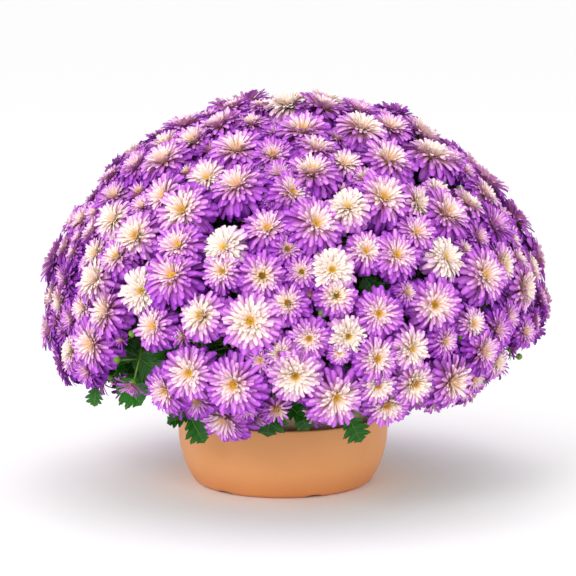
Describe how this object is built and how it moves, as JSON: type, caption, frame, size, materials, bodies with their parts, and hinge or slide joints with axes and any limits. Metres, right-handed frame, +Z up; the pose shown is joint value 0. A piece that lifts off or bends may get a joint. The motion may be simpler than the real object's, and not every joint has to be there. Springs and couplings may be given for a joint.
{
  "type": "pot chrysanthemum",
  "caption": "Flowering house plant: a dome of lilac pompon blooms on leafy stems, in a low round terracotta-coloured bowl.",
  "frame": {"origin": "middle of the circle that the bowl stands on, at the level of the surface below it", "axes": "+Z up; -Y is the front seen in the picture, +X is the viewer's right"},
  "size_m": [0.5014, 0.5004, 0.3872],
  "materials": {
    "bowl": "smooth matte, terracotta colour",
    "grow_pot": "matte, pale brown",
    "potting_mix": "dark, coarse and damp",
    "leaf": "soft satin, green leaf and stem",
    "petal": "velvety, lilac fading to cream, with an orange eye"
  },
  "bodies": {
    "root": {"bowl": "bowl", "grow_pot": "grow_pot", "potting_mix": "potting_mix", "shoot_01": "leaf", "shoot_02": "leaf", "shoot_03": "leaf", "shoot_04": "leaf", "shoot_05": "leaf", "shoot_06": "leaf", "shoot_07": "leaf", "shoot_08": "leaf", "shoot_09": "leaf", "shoot_10": "leaf", "shoot_11": "leaf", "shoot_12": "leaf", "shoot_13": "leaf", "shoot_14": "leaf", "shoot_15": "leaf", "shoot_16": "leaf", "shoot_17": "leaf", "shoot_18": "leaf", "shoot_19": "leaf", "shoot_20": "leaf", "spray_01": "petal", "spray_02": "petal", "spray_03": "petal", "spray_04": "petal", "spray_05": "petal", "spray_06": "petal", "spray_07": "petal", "spray_08": "petal", "spray_09": "petal", "spray_10": "petal", "spray_11": "petal", "spray_12": "petal", "spray_13": "petal", "spray_14": "petal", "spray_15": "petal", "spray_16": "petal", "spray_17": "petal", "spray_18": "petal", "spray_19": "petal", "spray_20": "petal"}
  },
  "joints": []
}
